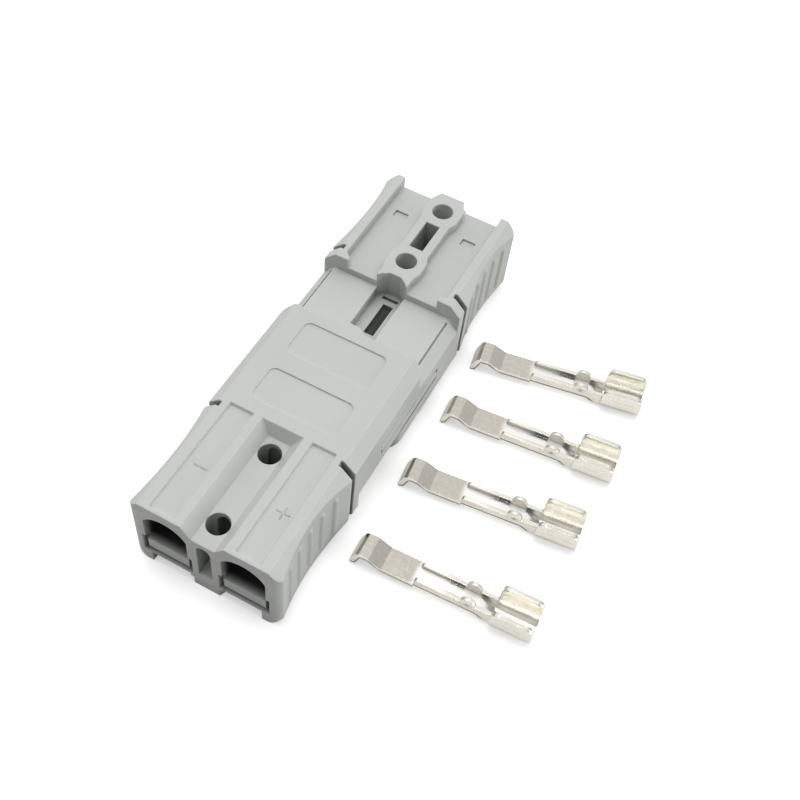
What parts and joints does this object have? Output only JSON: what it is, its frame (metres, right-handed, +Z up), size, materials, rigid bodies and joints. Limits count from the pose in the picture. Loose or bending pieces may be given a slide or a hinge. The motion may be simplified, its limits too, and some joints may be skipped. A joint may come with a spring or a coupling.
{
  "type": "genderless power connector",
  "caption": "Pair of identical two-pole power connector housings plugged head to head, with leaf springs inside and loose crimp contacts beside them.",
  "frame": {"origin": "mating centre of the pair on the table plane, midway between the two wire ends", "axes": "+X along the pair, from the near half's wire end to the far half's; +Y across it, away from the loose contacts; +Z up"},
  "size_m": [0.092, 0.0684, 0.018],
  "materials": {
    "housing_plastic": "moulded polycarbonate, light grey, fine matt",
    "spring_steel": "rolled stainless strip",
    "plated_copper": "copper strip, silver plated, stamped and folded"
  },
  "bodies": {
    "near_half": {"near_housing": "housing_plastic", "near_left_spring": "spring_steel", "near_right_spring": "spring_steel", "contact_1": "plated_copper", "contact_2": "plated_copper", "contact_3": "plated_copper", "contact_4": "plated_copper"},
    "far_half": {"far_housing": "housing_plastic", "far_left_spring": "spring_steel", "far_right_spring": "spring_steel"}
  },
  "joints": [
    {"name": "unplug", "type": "slide", "parent": "near_half", "child": "far_half", "axis": [1, 0, 0], "range_m": [0, 0.03]}
  ]
}
